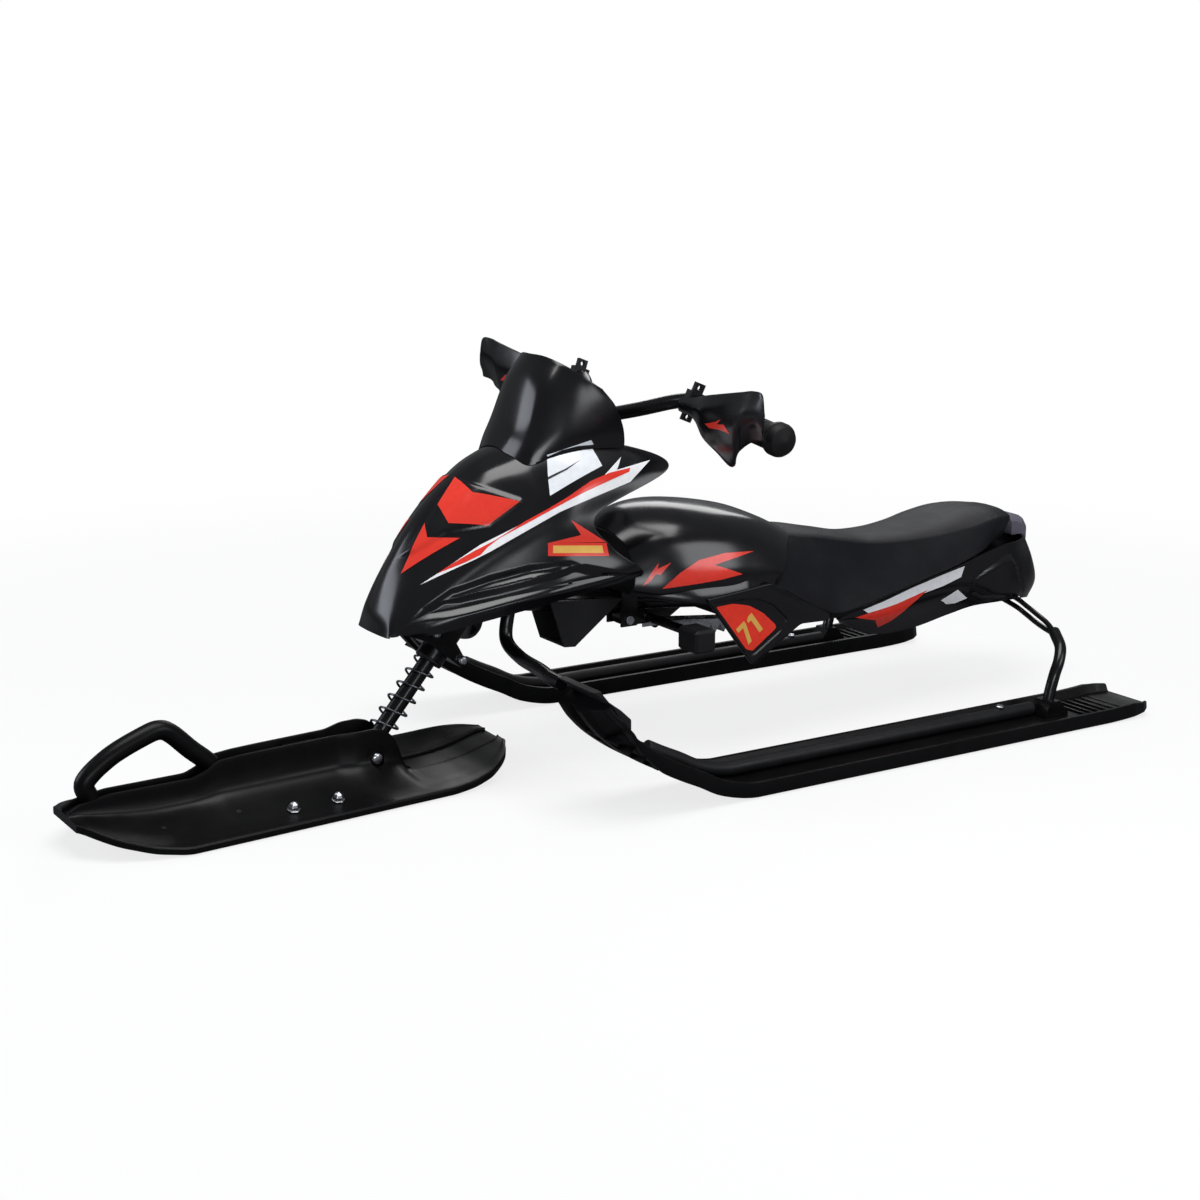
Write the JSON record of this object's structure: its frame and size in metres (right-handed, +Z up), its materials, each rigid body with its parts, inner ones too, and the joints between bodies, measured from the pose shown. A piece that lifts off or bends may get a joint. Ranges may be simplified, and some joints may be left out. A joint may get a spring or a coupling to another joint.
{
  "type": "snow sled",
  "caption": "Steerable snow sled with a sprung front ski, fixed rear skis, a motorcycle-style body, a padded seat and a foot brake.",
  "frame": {"origin": "centre of the bounding box at ground level, on the centre plane of the rear skis", "axes": "+X towards the front ski, +Y to the rider's left, +Z up"},
  "size_m": [1.203, 0.5395, 0.4285],
  "materials": {
    "gloss_black": "gloss black moulded plastic",
    "ski_black": "satin black moulded plastic",
    "matte_black": "matte black plastic",
    "seat_vinyl": "grained matte black vinyl cover",
    "frame_black": "gloss black painted steel tube",
    "zinc": "bright zinc plated steel",
    "spring_steel": "dark plated spring wire",
    "smoke_grey": "smoke grey moulded plastic"
  },
  "bodies": {
    "frame": {"backbone": "frame_black", "belly_pan": "matte_black", "brake_bracket": "frame_black", "brake_pin": "zinc", "cowl_brace": "frame_black", "front_bracket_bolt": "zinc", "front_hoop": "frame_black", "head_tube": "frame_black", "left_footrest": "matte_black", "left_number_panel": "gloss_black", "left_rail": "matte_black", "left_rail_screw": "zinc", "left_rear_ski": "ski_black", "lower_bush": "matte_black", "nose_bracket": "frame_black", "nose_cowl": "gloss_black", "panel_rod": "frame_black", "rear_bracket_bolt": "zinc", "rear_hoop": "frame_black", "right_footrest": "matte_black", "right_number_panel": "gloss_black", "right_rail": "matte_black", "right_rail_screw": "zinc", "right_rear_ski": "ski_black", "seat_base": "matte_black", "seat_cushion": "seat_vinyl", "seat_support": "matte_black", "tail_cap": "smoke_grey", "tail_cover": "gloss_black", "tank_bulkhead": "matte_black", "tank_cover": "gloss_black", "tank_saddle": "matte_black", "upper_bush": "matte_black", "windshield": "gloss_black"},
    "steering": {"steering_column": "frame_black", "stem_base": "matte_black", "stem_cap": "matte_black", "stem_bolt": "zinc", "handlebar": "frame_black", "left_grip": "matte_black", "right_grip": "matte_black", "left_guard_clamp": "matte_black", "right_guard_clamp": "matte_black", "left_handguard": "gloss_black", "right_handguard": "gloss_black"},
    "fork": {"fork_foot": "frame_black", "fork_tube": "frame_black", "coil_spring": "spring_steel"},
    "front_ski_set": {"front_ski": "ski_black", "nose_loop": "ski_black", "pivot_bolt": "zinc", "left_front_deck_nut": "zinc", "left_rear_deck_nut": "zinc", "right_front_deck_nut": "zinc", "right_rear_deck_nut": "zinc"},
    "brake": {"brake_lever": "frame_black", "left_brake_pad": "matte_black", "right_brake_pad": "matte_black", "brake_claw": "zinc"}
  },
  "joints": [
    {"name": "steering", "type": "hinge", "parent": "frame", "child": "steering", "pos_m": [0.26, 0, 0.063], "axis": [-0.6428, 0, 0.766], "range_deg": [-36, 24]},
    {"name": "fork_slide", "type": "slide", "parent": "steering", "child": "fork", "axis": [-0.6428, 0, 0.766], "range_m": [0, 0.022], "stiffness_N_per_m": 3000, "springref_m": -0.02, "deforming": ["coil_spring"]},
    {"name": "ski_pitch", "type": "hinge", "parent": "fork", "child": "front_ski_set", "pos_m": [0.28314, 0, 0.03542], "axis": [-0.0801, 0.9945, -0.0672], "range_deg": [-12, 12]},
    {"name": "brake_pedal", "type": "hinge", "parent": "frame", "child": "brake", "pos_m": [-0.024, 0, 0.1367], "axis": [0, -1, 0], "range_deg": [0, 55], "stiffness_Nm_per_rad": 0.6, "springref_deg": -57.3}
  ]
}
